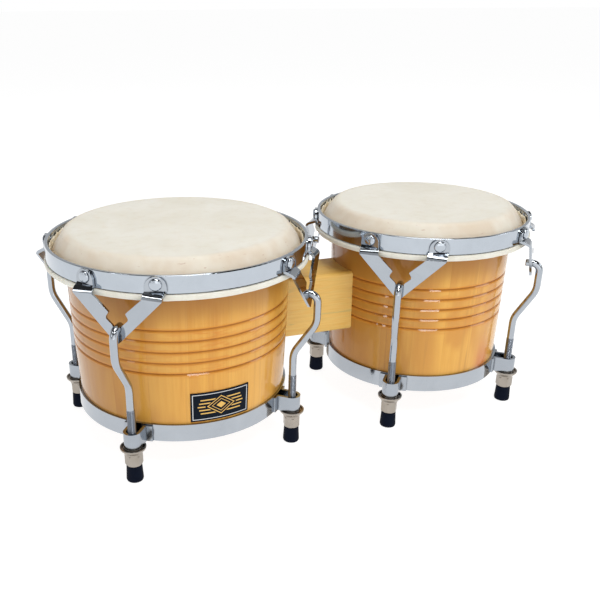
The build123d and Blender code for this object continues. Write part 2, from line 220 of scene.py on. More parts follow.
def add_mesh(name, points, faces, matrix, materials, indices=None):
    """Makes a smooth object from points in millimetres; indices say which material each face has."""
    mesh = bpy.data.meshes.new(name)
    mesh.from_pydata([matrix @ Vector(p) for p in points], [], faces)
    for material in materials:
        mesh.materials.append(material)
    if indices:
        mesh.polygons.foreach_set("material_index", indices)
    mesh.polygons.foreach_set("use_smooth", [True] * len(faces))
    mesh.validate()
    bm = bmesh.new()
    bm.from_mesh(mesh)
    bmesh.ops.recalc_face_normals(bm, faces=bm.faces)
    bm.to_mesh(mesh)
    bm.free()
    piece = bpy.data.objects.new(name, mesh)
    bpy.context.scene.collection.objects.link(piece)
    return piece


def settle(piece, body, slot, *nodes):
    """Rides the piece on its body and hides the CAD nodes it stands for."""
    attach(piece, body)
    if nodes:
        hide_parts(*nodes)


def round_edges(piece, width):
    """Rounds the sharp edges, in millimetres, and keeps the flat faces looking flat."""
    bevel = piece.modifiers.new("edges", "BEVEL")
    bevel.width = width * MM
    bevel.segments = 3
    bevel.limit_method = "ANGLE"
    bevel.angle_limit = math.radians(35)
    weights = piece.modifiers.new("shading", "WEIGHTED_NORMAL")
    weights.mode = "FACE_AREA"
    weights.weight = 100


def keep_corners(piece):
    """Marks the sharp edges, so that they don't shade as if they were round."""
    bm = bmesh.new()
    bm.from_mesh(piece.data)
    for edge in bm.edges:
        edge.smooth = edge.calc_face_angle(0.0) < math.radians(40)
    bm.to_mesh(piece.data)
    bm.free()


def lathe(name, section, segments, matrix, materials):
    """Turns section(angle), a closed loop of (radius, height), once round the axis."""
    points = []
    for i in range(segments):
        angle = 2 * math.pi * i / segments
        loop = section(angle)
        points += [(r * math.cos(angle), r * math.sin(angle), z) for r, z in loop]
    count = len(loop)
    faces = []
    for i in range(segments):
        a, b = i * count, (i + 1) % segments * count
        faces += [(a + k, b + k, b + (k + 1) % count, a + (k + 1) % count) for k in range(count)]
    return add_mesh(name, points, faces, matrix, materials)


def arc(centre, radius, start, end, count):
    """Points of an arc in a plane, angles in degrees."""
    turns = [math.radians(start + (end - start) * i / (count - 1)) for i in range(count)]
    return [(centre[0] + radius * math.cos(t), centre[1] + radius * math.sin(t)) for t in turns]


def rounded_path(corners, radii):
    """Points along straight runs joined by arcs of the given radii, about six degrees apart on an arc."""
    path = [corners[0]]
    for before, corner, after, radius in zip(corners, corners[1:], corners[2:], radii):
        enter = (corner - before).normalized()
        leave = (after - corner).normalized()
        turn = enter.angle(leave)
        side = (leave - enter * leave.dot(enter)).normalized()
        start = corner - enter * radius * math.tan(turn / 2)
        centre = start + side * radius
        count = max(3, round(turn / math.radians(6)))
        for i in range(count + 1):
            t = turn * i / count
            path.append(centre - side * radius * math.cos(t) + enter * radius * math.sin(t))
    path.append(corners[-1])
    return path


def hook_mesh(drum, lug_angle, claw_angle):
    """Rod with a cut thread at its foot, two easy bends and a stub turned in over the claw's notch.

    Its faces have index 1 up to the thread's top and 0 above.
    """
    around = 28
    rings_per_turn = 7
    level = (Vector((1, 0, 0)), Vector((0, 1, 0)))
    rings = []

    def at(radius, angle, z):
        return Vector((radius * math.cos(angle), radius * math.sin(angle), z))

    def ring(centre, radius, axes=level, thread=0.0):
        """Adds a ring; thread is how fully the thread is cut into it."""
        loop = []
        for i in range(around):
            t = 2 * math.pi * i / around
            r = radius
            if thread:
                phase = (centre.z / THREAD_PITCH - i / around) % 1.0
                height = min(1.0, max(0.0, 1.35 - 2.7 * abs(phase - 0.5)))
                r = radius + thread * (THREAD_ROOT + (THREAD_CREST - THREAD_ROOT) * height - radius)
            loop.append(centre + axes[0] * r * math.cos(t) + axes[1] * r * math.sin(t))
        rings.append(loop)

    # a chamfered end and a plain length, inside the foot and the nut at rest
    foot = at(drum.rod_r, lug_angle, 0)
    for z, r in ((ROD_END, 2.7), (ROD_END + 0.8, 3.4), (THREAD_BOTTOM, 3.4)):
        ring(foot + Vector((0, 0, z)), r)

    run_out = 1.5
    z = THREAD_BOTTOM + 0.5
    while z < THREAD_TOP:
        cut = min(1.0, (THREAD_TOP - z) / run_out, (z - THREAD_BOTTOM) / run_out)
        ring(foot + Vector((0, 0, z)), ROD_R, thread=max(cut, 0.001))
        z += THREAD_PITCH / rings_per_turn
    threaded = len(rings)

    low, high = drum.rod_r, drum.rim_r + HOOK_OUT
    corners = [
        at(low, lug_angle, THREAD_TOP),
        at(low, lug_angle, S_LOW_Z),
        at(high, claw_angle, S_HIGH_Z),
        at(high, claw_angle, HOOK_Z),
        at(drum.rim_r + STUB_END, claw_angle, HOOK_Z),
    ]
    path = rounded_path(corners, (S_BEND, S_BEND, HOOK_BEND))
    last = len(path) - 1
    axes = level
    heading = Vector((0, 0, 1))
    for i, point in enumerate(path):
        onward = (path[min(i + 1, last)] - path[max(i - 1, 0)]).normalized()
        swing = heading.rotation_difference(onward)
        axes = (swing @ axes[0], swing @ axes[1])
        heading = onward
        if i < last:
            ring(point, ROD_R, axes)
        else:
            for back, shrink in ((0.7, 0.0), (0.2, 0.2), (0.0, 0.8)):
                ring(point - heading * back, ROD_R - shrink, axes)

    points = [p for loop in rings for p in loop]
    faces, indices = [], []
    for i in range(len(rings) - 1):
        a, b = i * around, (i + 1) * around
        for k in range(around):
            n = (k + 1) % around
            faces.append((a + k, a + n, b + n, b + k))
            indices.append(1 if i < threaded - 1 else 0)
    faces += [tuple(reversed(range(around))), tuple(range(len(points) - around, len(points)))]
    indices += [0, 0]
    return points, faces, indices


def claw_mesh(drum):
    """One bent strip: two round-topped tabs, an S-shaped jog below each, and two arms that meet at a notch.

    (u, v) below are across and up the leaning plate, from the middle of its top.
    """
    up = Vector((-math.sin(PLATE_LEAN), 0, math.cos(PLATE_LEAN)))
    out = Vector((math.cos(PLATE_LEAN), 0, math.sin(PLATE_LEAN)))
    along = Vector((0, 1, 0))
    top = Vector((drum.rim_r + PLATE_OUT, 0, ARM_TOP))
    half = TAB_W / 2
    columns = 13
    shares = [math.sin(math.radians(-90 + 180 * k / (columns - 1))) for k in range(columns)]
    narrow = 0.985      # an arm's width at the jog, as a share of the tab's
    inset = 0.3         # how far the jog's foot stands in from the tab, and its straight length
    inner_face = []     # (point, outward normal) of every vertex on the side towards the drum
    faces = []

    def add(point, normal):
        inner_face.append((point, normal))
        return len(inner_face) - 1

    def flat(u, v):
        return add(top + along * u + up * v, out)

    def soft(points, radius, steps=3):
        """Rounds the corners of an open run of points in the plate."""
        result = [points[0]]
        for a, b, c in zip(points, points[1:], points[2:]):
            a, b, c = Vector(a), Vector(b), Vector(c)
            cut = min(radius, (a - b).length * 0.45, (c - b).length * 0.45)
            p, q = b + (a - b).normalized() * cut, b + (c - b).normalized() * cut
            for i in range(steps + 1):
                t = i / steps
                result.append(tuple((1 - t) ** 2 * p + 2 * t * (1 - t) * b + t * t * q))
        result.append(points[-1])
        return result

    left_edge = [flat(-TAB_T + inset + half * s * narrow, 0.0) for s in shares]
    right_edge = [flat(TAB_T - inset + half * s * narrow, 0.0) for s in shares]
    notch_r = ROD_R + 0.15
    notch_v = HOOK_Z + 0.1 - ARM_TOP
    cradle = arc((0, notch_v), notch_r, 180, 360, 11)
    inside = (
        [(-TAB_T + half, 0.0), (-6.8, -12.2), (-9.0, -15.6), (-9.0, -17.4), (-notch_r - 0.4, notch_v + 1.8)]
        + cradle
        + [(notch_r + 0.4, notch_v + 1.8), (9.0, -17.4), (9.0, -15.6), (6.8, -12.2), (TAB_T - half, 0.0)]
    )
    inside = soft(inside, 0.9)
    outside = soft([(TAB_T + half, 0.0), (0.0, -37.4), (-TAB_T - half, 0.0)], 3.0, 6)
    polygon = (
        left_edge
        + [flat(u, v) for u, v in inside[1:-1]]
        + right_edge
        + [flat(u, v) for u, v in outside[1:-1]]
    )
    faces.append(tuple(polygon))

    def tab(edge, side):
        turn = Matrix.Rotation(side * drum.tab_angle, 3, "Z")
        foot = turn @ Vector((drum.rim_r + 0.02, 0, TAB_BOTTOM))
        tangent = turn @ Vector((0, 1, 0))
        facing = turn @ Vector((1, 0, 0))
        start = top + up * inset
        rows = [edge, [flat(half * s * narrow + side * (TAB_T - inset), inset) for s in shares]]

        # the jog: cubic curves from the leaning plate to the upright tab
        pull = 6.5
        steps = 12
        for j in range(1, steps + 1):
            t = j / steps
            row = []
            for s in shares:
                w = half * s * (narrow + (1 - narrow) * t)
                a = start + along * (side * (TAB_T - inset) + w)
                b = foot + tangent * w
                h00, h10 = 2 * t**3 - 3 * t * t + 1, t**3 - 2 * t * t + t
                h01, h11 = -2 * t**3 + 3 * t * t, t**3 - t * t
                point = a * h00 + up * pull * h10 + b * h01 + Vector((0, 0, pull)) * h11
                d00, d10 = 6 * t * t - 6 * t, 3 * t * t - 4 * t + 1
                d01, d11 = -6 * t * t + 6 * t, 3 * t * t - 2 * t
                slope = a * d00 + up * pull * d10 + b * d01 + Vector((0, 0, pull)) * d11
                across = along.lerp(tangent, t)
                row.append(add(point, across.cross(slope).normalized()))
            rows.append(row)

        # the tab's round top
        radius = 8.1
        crown = RIM_TOP - 0.3
        for share in (0.5, 1.0):
            row = []
            for s in shares:
                w = half * s
                over = max(0.0, abs(w) - (half - radius))
                ceiling = crown - (radius - math.sqrt(max(0.0, radius * radius - over * over)))
                z = TAB_BOTTOM + (ceiling - TAB_BOTTOM) * share
                row.append(add(foot + tangent * w + Vector((0, 0, z - TAB_BOTTOM)), facing))
            rows.append(row)
        for lower, upper in zip(rows, rows[1:]):
            for k in range(columns - 1):
                faces.append((lower[k], lower[k + 1], upper[k + 1], upper[k]))

    tab(left_edge, -1)
    tab(right_edge, 1)

    count = len(inner_face)
    points = [p for p, _ in inner_face] + [p + n * PLATE for p, n in inner_face]
    edges = dict.fromkeys(edge for face in faces for edge in zip(face, face[1:] + face[:1]))
    walls = [(b, a, a + count, b + count) for a, b in edges if (b, a) not in edges]
    outer = [tuple(i + count for i in face) for face in faces]
    inner = [tuple(reversed(face)) for face in faces]
    return points, inner + outer + walls


def rivet_mesh(drum):
    """Low button head on the claw's tab, shank through the rim, and the peened tail inside.

    The tail's and the button's points are (radius, distance outside the face that each lies on).
    """
    face, start = drum.rim_r + PLATE, drum.rim_r - RIM_WALL
    tail = [(0.02, -0.7), (3.2, -0.7), (3.9, -0.4), (4.0, -0.08), (2.4, -0.06)]
    button = [
        (2.4, 0.02), (4.8, 0.02), (4.85, 0.35), (4.6, 0.95), (4.1, 1.45), (3.5, 1.75),
        (3.1, 1.72), (2.8, 1.85), (1.5, 1.98), (0.15, 2.02), (0.02, 2.02),
    ]
    profile = [(r, start + away) for r, away in tail] + [(r, face + away) for r, away in button]
    around = 40
    points, faces = [], []
    for turn in [side * drum.tab_angle + angle for angle in drum.claw_angles() for side in (-1, 1)]:
        swing = Matrix.Rotation(turn, 3, "Z")
        base = len(points)
        for i in range(around):
            t = 2 * math.pi * i / around
            points += [swing @ Vector((x, r * math.cos(t), RIVET_Z + r * math.sin(t))) for r, x in profile]
        count = len(profile)
        for i in range(around):
            a, b = base + i * count, base + (i + 1) % around * count
            faces += [(a + k, b + k, b + (k + 1) % count, a + (k + 1) % count) for k in range(count)]
    return points, faces


def shell_section(drum):
    """Barrelled wall with five V grooves, a rounded bearing edge and a straight tapered bore."""
    low, high = RING_TOP, BEARING_EDGE - EDGE_R
    stations = ((low, drum.foot_r), (SHELL_WAIST, drum.waist_r), (high, drum.top_r))

    def side(z):
        """Radius at a height, on the parabola through the three stations."""
        total = 0.0
        for i, (zi, ri) in enumerate(stations):
            weight = 1.0
            for j, (zj, _) in enumerate(stations):
                if j != i:
                    weight *= (z - zj) / (zi - zj)
            total += weight * ri
        return total

    wall = [(side(z), z) for z in (low, 60.0, 75.0, 88.0)]
    for groove, cut in zip(GROOVES_Z, drum.cuts):
        wall += [(side(groove - away) - depth * cut, groove - away) for away, depth in reversed(GROOVE)]
        wall += [(side(groove + away) - depth * cut, groove + away) for away, depth in GROOVE[1:]]
    wall += [(side(z), z) for z in (140.0, 155.0, 170.0)]
    inside = drum.foot_r - 0.3
    return (
        wall
        + arc((drum.top_r - EDGE_R, high), EDGE_R, 0, 90, 8)
        + [
            (drum.top_r - SHELL_WALL + 1.2, BEARING_EDGE),
            (drum.top_r - SHELL_WALL, BEARING_EDGE - 2.0),
            (drum.foot_r - SHELL_WALL, SHELL_BOTTOM),
            (inside, SHELL_BOTTOM),
            (inside, low),
        ]
    )


def head_section(drum, angle):
    """Skin: flat, turned over the edge, and flaring out to the hoop with small puckers near it."""
    centre = (drum.top_r - EDGE_R, BEARING_EDGE - EDGE_R)
    c, s = math.cos(angle), math.sin(angle)
    ripple = 0.45 * math.sin(23 * angle + 3 * wobble(2 * c, 2 * s, 1.0))
    pucker = (ripple + 1.1 * wobble(9 * c, 9 * s, drum.x)) * 0.9

    def side(radius, offset):
        """From the edge down to the hoop; offset moves the flare towards the drum."""
        loop = arc(centre, radius, 90, 35, 9)
        knots = [
            Vector(loop[-1]),
            Vector((drum.top_r + 6.7 + offset, FLARE_Z)),
            Vector((drum.top_r + 8.9 + offset, SKIRT_Z)),
            Vector((drum.top_r + 9.2 + offset, RIM_BOTTOM + 0.3)),
        ]
        runs = [b - a for a, b in zip(knots, knots[1:])]
        before = Vector((0.57, -0.82))      # the way the skin leaves the edge's arc
        for i, run in enumerate(runs):
            bend = before.normalized() - run.normalized()
            for j in range(1, 6):
                t = j / 5
                p = knots[i].lerp(knots[i + 1], t)
                bulge = bend * t * (1 - t) * 1.6
                share = (i + t) / 3
                loop.append((p.x + bulge.x + pucker * share**1.5, p.y + bulge.y))
            before = run
        return loop

    radii = (0.05, 0.6, 20, 40, 60, 74)
    flat = [(r, HEAD_TOP) for r in radii]
    outer = side(EDGE_R + SKIN_GAP + SKIN, 0.0)
    inner = side(EDGE_R + SKIN_GAP, -SKIN)
    under = [(r, BEARING_EDGE + SKIN_GAP) for r in reversed(radii)]
    return flat + outer + inner[::-1] + under


def hoop_section(drum, angle):
    """Hoop lapped in skin: a soft-cornered bar, a little lumpy, with a shallow gap below the rim."""
    c, s = math.cos(angle), math.sin(angle)
    lump = 0.22 * wobble(7 * c, 7 * s, 4.0) + 0.12 * wobble(30 * c, 30 * s, 9.0)
    inside = drum.rim_r - RIM_WALL - 3.6
    outside = drum.rim_r + 1.45 + lump
    top = RIM_BOTTOM - 0.25
    bottom = HOOP_BOTTOM + 0.15 + 0.15 * wobble(12 * c, 12 * s, 2.0)
    return (
        arc((outside - 2.3, bottom + 2.3), 2.3, -90, 0, 7)
        + arc((outside - 1.2, top - 1.2), 1.2, 0, 90, 5)
        + [(inside, top)]
        + arc((inside + 2.0, bottom + 2.0), 2.0, 180, 270, 5)
    )


def fringe_section(drum, angle):
    """The skin's trimmed end, standing up unevenly inside the rim."""
    c, s = math.cos(angle), math.sin(angle)
    height = FRINGE_TOP + 1.2 * wobble(6 * c, 6 * s, 0.5) + 2.8 * wobble(58 * c, 58 * s, 3.0)
    height = min(height, RIM_TOP - 0.6)
    lean = 0.35 * wobble(14 * c, 14 * s, 7.0)
    outer = drum.rim_r - RIM_WALL - 0.75
    foot = RIM_BOTTOM - 0.8
    return [
        (outer - 1.1, foot),
        (outer, foot),
        (outer + lean * 0.3, SKIRT_Z),
        (outer + lean * 0.6, height - 0.3),
        (outer - 0.5 + lean * 0.6, height),
        (outer - 1.0 + lean * 0.6, height - 0.4),
        (outer - 1.1 + lean * 0.3, SKIRT_Z),
    ]


# ------------------------------------------------------------------ material helper
class Nodes:
    """A small builder for one material's node tree."""

    def __init__(self, name):
        self.material = bpy.data.materials.new(name)
        self.material.use_nodes = True
        self.tree = self.material.node_tree
        self.shader = self.tree.nodes["Principled BSDF"]

    def add(self, kind, **settings):
        node = self.tree.nodes.new(kind)
        for key, value in settings.items():
            setattr(node, key, value)
        return node

    def put(self, socket, value):
        if isinstance(value, bpy.types.NodeSocket):
            self.tree.links.new(value, socket)
        elif value is not None:
            socket.default_value = value

    def math(self, operation, a, b=None):
        node = self.add("ShaderNodeMath", operation=operation)
        for socket, value in zip(node.inputs, (a, b)):
            self.put(socket, value)
        return node.outputs[0]

    def product(self, first, *others):
        for other in others:
            first = self.math("MULTIPLY", first, other)
        return first

    def mix(self, factor, a, b):
        """Colour a, or b where the factor is 1."""
        node = self.add("ShaderNodeMix", data_type="RGBA")
        self.put(node.inputs[0], factor)
        for socket, value in ((node.inputs[6], a), (node.inputs[7], b)):
            self.put(socket, (*value, 1) if isinstance(value, tuple) else value)
        return node.outputs[2]

    def ramp(self, value, low, high, out_low=0.0, out_high=1.0, smooth=False):
        """out_low up to low and out_high from high on, with a straight or smooth change between them."""
        node = self.add("ShaderNodeMapRange", clamp=True)
        node.interpolation_type = "SMOOTHSTEP" if smooth else "LINEAR"
        for socket, v in zip(node.inputs, (value, low, high, out_low, out_high)):
            self.put(socket, v)
        return node.outputs[0]

    def noise(self, vector, scale, detail=3.0, roughness=0.5, distortion=0.0):
        node = self.add("ShaderNodeTexNoise")
        self.put(node.inputs["Vector"], vector)
        self.put(node.inputs["Scale"], scale)
        self.put(node.inputs["Detail"], detail)
        self.put(node.inputs["Roughness"], roughness)
        self.put(node.inputs["Distortion"], distortion)
        return node.outputs[0]

    def white(self, value):
        node = self.add("ShaderNodeTexWhiteNoise", noise_dimensions="1D")
        self.put(node.inputs["W"], value)
        return node.outputs[0]

    def place(self):
        """Object coordinates, which are the model's frame in metres."""
        return self.add("ShaderNodeTexCoord").outputs["Object"]

    def split(self, vector):
        node = self.add("ShaderNodeSeparateXYZ")
        self.put(node.inputs[0], vector)
        return node.outputs

    def join(self, x, y, z):
        node = self.add("ShaderNodeCombineXYZ")
        for socket, value in zip(node.inputs, (x, y, z)):
            self.put(socket, value)
        return node.outputs[0]

    def scaled(self, vector, scale):
        node = self.add("ShaderNodeVectorMath", operation="MULTIPLY")
        self.put(node.inputs[0], vector)
        self.put(node.inputs[1], scale)
        return node.outputs[0]

    def bump(self, height, strength, distance):
        node = self.add("ShaderNodeBump")
        self.put(node.inputs["Height"], height)
        self.put(node.inputs["Strength"], strength)
        self.put(node.inputs["Distance"], distance)
        return node.outputs[0]

    def finish(self, **values):
        """Sets the shader's sockets; names are written with underscores."""
        for key, value in values.items():
            socket = self.shader.inputs[key.replace("_", " ")]
            if socket.type == "RGBA" and isinstance(value, tuple):
                value = (*value, 1)
            self.put(socket, value)
        return self.material


# ------------------------------------------------------------------ materials
def drum_place(n, drum):
    """(angle round the drum, height, radius), the last two in metres."""
    x, y, z = n.split(n.place())
    dx = n.math("SUBTRACT", x, drum.x * MM)
    dy = n.math("SUBTRACT", y, drum.y * MM)
    angle = n.math("ARCTAN2", dy, dx)
    radius = n.math("SQRT", n.math("ADD", n.product(dx, dx), n.product(dy, dy)))
    return angle, z, radius


STAVES = 18
WOOD_AMBER = (0.75, 0.38, 0.062)
WOOD_RUSSET = (0.60, 0.255, 0.030)
WOOD_PALE = (0.82, 0.465, 0.095)
WOOD_FIGURE = (0.53, 0.195, 0.024)
WOOD_STREAK = (0.42, 0.165, 0.028)
WOOD_LAP = (0.62, 0.205, 0.016)
WOOD_PORE = (0.45, 0.20, 0.05)
WOOD_STAVE = (0.82, 0.465, 0.100)
WOOD_SEAM = (0.40, 0.17, 0.03)
WOOD_PAINTED_HOOP_SHADOW = (0.33, 0.130, 0.018)
WOOD_PAINTED_SIDE_SHADE = (0.31, 0.128, 0.018)
WOOD_RED_STREAK = (0.55, 0.13, 0.02)
WOOD_GROOVE_RIM = (0.66, 0.255, 0.024)
WOOD_GROOVE = (0.30, 0.095, 0.012)


def groove_stain_and_shade(n, z, core, edge, amount):
    """The given amount within core of a groove's bottom, fading out at edge: stain gathered there, and
    painted shade of the hollow.
    """
    step = GROOVE_STEP * MM
    first = GROOVES_Z[0] * MM - step / 2
    cell = n.math("SUBTRACT", n.math("FRACT", n.math("DIVIDE", n.math("SUBTRACT", z, first), step)), 0.5)
    near = n.ramp(n.product(n.math("ABSOLUTE", cell), step), core, edge, amount, 0.0, True)
    above = n.math("GREATER_THAN", z, first)
    below = n.math("LESS_THAN", z, GROOVES_Z[-1] * MM + step / 2)
    return n.product(near, n.product(above, below))


def shell_wood(drum):
    """Lacquered staves: warm amber, with upright grain, broad figure and its own tone for each stave, and
    painted shade under the hoop, on the side facing -x and in the grooves.
    """
    n = Nodes(f"{drum.name}_shell_wood")
    seed, pale_amount, streak_amount = (3.7, 0.45, 0.28) if drum is LARGE else (31.4, 0.6, 0.5)
    angle, z, _ = drum_place(n, drum)
    c, s = n.math("COSINE", angle), n.math("SINE", angle)
    size = drum.top_r * MM
    px, py = n.product(c, size), n.product(s, size)     # a point on the wall, as if it were straight

    staves = n.product(n.math("ADD", angle, 0.35), STAVES / (2 * math.pi))
    tone = n.white(n.math("ADD", n.math("FLOOR", staves), seed))
    shift = n.product(tone, 7.0)                        # each stave has its own grain
    sx, sy = n.math("ADD", px, shift), n.math("ADD", py, shift)
    grain = n.join(sx, sy, n.product(z, 0.05))
    broad = n.noise(grain, 60.0, 3.0, 0.55, 0.5)
    fine = n.noise(grain, 430.0, 4.0, 0.62, 0.2)
    pores = n.noise(n.join(px, py, n.product(z, 0.016)), 1900.0, 2.0, 0.6)
    figure = n.noise(n.join(sx, py, n.product(z, 0.22)), 24.0, 2.0, 0.5, 1.4)
    dark = n.join(sx, n.math("SUBTRACT", py, shift), n.product(z, 0.03))
    dark = n.noise(dark, 150.0, 3.0, 0.6, 0.8)
    colour = n.mix(n.ramp(broad, 0.3, 0.72), WOOD_AMBER, WOOD_RUSSET)
    colour = n.mix(n.ramp(fine, 0.35, 0.75, 0.0, pale_amount), colour, WOOD_PALE)
    colour = n.mix(n.ramp(figure, 0.48, 0.70, 0.0, 0.75, True), colour, WOOD_FIGURE)
    colour = n.mix(n.ramp(dark, 0.58, 0.72, 0.0, streak_amount, True), colour, WOOD_STREAK)

    # smears of stain beside the grooves
    low, high = (GROOVES_Z[0] - 6) * MM, (GROOVES_Z[-1] + 6) * MM
    grooved = n.product(n.ramp(z, low, low + 0.003), n.ramp(z, high, high - 0.003))
    laps = n.noise(n.join(px, py, n.product(z, 7.0)), 42.0, 2.0, 0.5, 0.4)
    laps = n.product(n.ramp(laps, 0.50, 0.66, 0.0, 0.55, True), grooved)
    colour = n.mix(laps, colour, WOOD_LAP)

    colour = n.mix(n.ramp(pores, 0.60, 0.72, 0.0, 0.22), colour, WOOD_PORE)
    colour = n.mix(n.product(tone, 0.4), colour, WOOD_STAVE)
    part = n.math("FRACT", staves)
    seam = n.math("MINIMUM", part, n.math("SUBTRACT", 1.0, part))
    colour = n.mix(n.ramp(seam, 0.0, 0.010, 0.30, 0.0), colour, WOOD_SEAM)
    # painted shadow of the rim and hoop: the wall darkens towards its top
    colour = n.mix(n.ramp(z, 0.128, 0.158, 0.0, 0.78, True), colour, WOOD_PAINTED_HOOP_SHADOW)
    # painted shade: darker on the side facing -x, away from the lights
    colour = n.mix(n.ramp(c, -0.20, -0.95, 0.0, 0.72), colour, WOOD_PAINTED_SIDE_SHADE)
    if drum is SMALL:
        away = n.math("ABSOLUTE", n.math("ADD", angle, 1.15))
        stain = n.product(n.ramp(away, 0.03, 0.20, 0.75, 0.0, True), n.ramp(z, 0.048, 0.09, 1.0, 0.0, True))
        colour = n.mix(stain, colour, WOOD_RED_STREAK)
    # in the grooves, stain gathered there and painted shade of the hollows: a soft halo, then a dark line
    colour = n.mix(groove_stain_and_shade(n, z, 0.0010, 0.0034, 0.55), colour, WOOD_GROOVE_RIM)
    colour = n.mix(groove_stain_and_shade(n, z, 0.0002, 0.0011, 0.72), colour, WOOD_GROOVE)

    waves = n.noise(n.join(px, py, z), 38.0, 2.0, 0.5)
    return n.finish(
        Base_Color=colour,
        Roughness=n.ramp(fine, 0.3, 0.7, 0.38, 0.5),
        Normal=n.bump(n.math("ADD", fine, n.product(pores, 0.5)), 0.10, 0.0004),
        Specular_IOR_Level=0.2,
        Coat_Weight=0.8,
        Coat_Roughness=0.04,
        Coat_IOR=1.38,
        Coat_Normal=n.bump(waves, 0.05, 0.002),
    )


def block_wood():
    n = Nodes("block_wood")
    x, y, z = n.split(n.place())
    grain = n.join(n.product(x, 0.10), y, z)
    broad = n.noise(grain, 60.0, 2.0, 0.5, 1.5)
    rings = n.math("SINE", n.product(n.math("ADD", z, n.product(broad, 0.03)), 900.0))
    fine = n.noise(n.join(n.product(x, 0.05), y, z), 900.0, 3.0, 0.6)
    streak = n.noise(n.join(n.product(x, 0.12), y, z), 170.0, 2.0, 0.5, 0.8)
    colour = n.mix(n.ramp(broad, 0.3, 0.7), (0.80, 0.50, 0.115), (0.74, 0.42, 0.075))
    colour = n.mix(n.ramp(rings, 0.2, 1.0, 0.0, 0.28), colour, (0.66, 0.43, 0.10))
    colour = n.mix(n.ramp(streak, 0.60, 0.72, 0.0, 0.5, True), colour, (0.42, 0.36, 0.13))
    colour = n.mix(n.ramp(fine, 0.4, 0.75, 0.0, 0.4), colour, (0.88, 0.68, 0.25))
    return n.finish(
        Base_Color=colour,
        Roughness=n.ramp(fine, 0.3, 0.7, 0.40, 0.55),
        Normal=n.bump(n.math("ADD", fine, rings), 0.08, 0.0004),
        Coat_Weight=0.35,
        Coat_Roughness=0.18,
    )


GLOW_THROUGH = {
    "Subsurface_Weight": 0.08,
    "Subsurface_Radius": (0.004, 0.003, 0.002),
    "Subsurface_Scale": 1.0,
}


def skin(drum):
    """Rawhide head: cloudy cream, tan where it turns over the edge, with faint veins and short streaks."""
    n = Nodes(f"{drum.name}_skin")
    angle, z, radius = drum_place(n, drum)
    place = n.place()
    c, s = n.math("COSINE", angle), n.math("SINE", angle)
    cloud = n.noise(place, 22.0, 4.0, 0.55, 0.8)
    mottle = n.noise(place, 130.0, 4.0, 0.6, 0.2)
    fibre = n.noise(n.scaled(place, (1.0, 0.25, 1.0)), 420.0, 3.0, 0.6, 0.6)
    colour = n.mix(n.ramp(cloud, 0.3, 0.7), (0.86, 0.835, 0.755), (0.80, 0.765, 0.665))
    edge = n.ramp(radius, (drum.top_r - 9) * MM, (drum.top_r + 0.5) * MM, smooth=True)
    patch = n.ramp(n.noise(place, 30.0, 3.0, 0.6), 0.35, 0.65, 0.3, 0.95)
    colour = n.mix(n.product(edge, patch), colour, (0.70, 0.595, 0.47))
    # painted shade: the skin darkens brown down its flare inside the rim
    colour = n.mix(n.ramp(z, 0.170, 0.183, 0.5, 0.0, True), colour, (0.50, 0.37, 0.22))
    colour = n.mix(n.ramp(mottle, 0.52, 0.8, 0.0, 0.3), colour, (0.70, 0.61, 0.47))
    reach = drum.top_r * MM * 0.9
    around = n.join(n.product(c, reach), n.product(s, reach), n.product(radius, 5.0))
    streak = n.noise(around, 150.0, 3.0, 0.6, 0.3)
    mark = n.product(n.ramp(streak, 0.66, 0.74, 0.0, 0.5, True), edge)
    colour = n.mix(mark, colour, (0.42, 0.20, 0.11))
    return n.finish(
        Base_Color=colour,
        Roughness=n.ramp(mottle, 0.3, 0.7, 0.52, 0.68),
        Normal=n.bump(n.math("ADD", fibre, n.product(mottle, 1.5)), 0.16, 0.0006),
        Sheen_Weight=0.06,
        **GLOW_THROUGH,
    )


def hoop_skin():
    """Dried skin lapped round the hoop: chalky cream with creases across it."""
    n = Nodes("hoop_skin")
    place = n.place()
    cloud = n.noise(place, 60.0, 4.0, 0.6, 0.5)
    fine = n.noise(place, 700.0, 3.0, 0.6)
    colour = n.mix(n.ramp(cloud, 0.3, 0.7), (0.80, 0.79, 0.72), (0.70, 0.68, 0.59))
    colour = n.mix(n.ramp(fine, 0.55, 0.8, 0.0, 0.3), colour, (0.55, 0.46, 0.33))
    return n.finish(
        Base_Color=colour,
        Roughness=n.ramp(fine, 0.3, 0.7, 0.5, 0.7),
        Normal=n.bump(n.math("ADD", cloud, fine), 0.25, 0.0006),
        **GLOW_THROUGH,
    )


def fringe_skin():
    """Cut end of the skin: tan and horn brown, frayed upwards."""
    n = Nodes("fringe_skin")
    place = n.place()
    tall = n.noise(n.scaled(place, (1.0, 1.0, 0.12)), 620.0, 3.0, 0.65, 0.3)
    patch = n.noise(place, 75.0, 3.0, 0.6)
    colour = n.mix(n.ramp(tall, 0.35, 0.65), (0.88, 0.80, 0.62), (0.58, 0.43, 0.23))
    colour = n.mix(n.ramp(patch, 0.4, 0.65, 0.0, 0.8), colour, (0.86, 0.81, 0.68))
    return n.finish(
        Base_Color=colour,
        Roughness=n.ramp(tall, 0.3, 0.7, 0.55, 0.75),
        Normal=n.bump(tall, 0.5, 0.0008),
    )


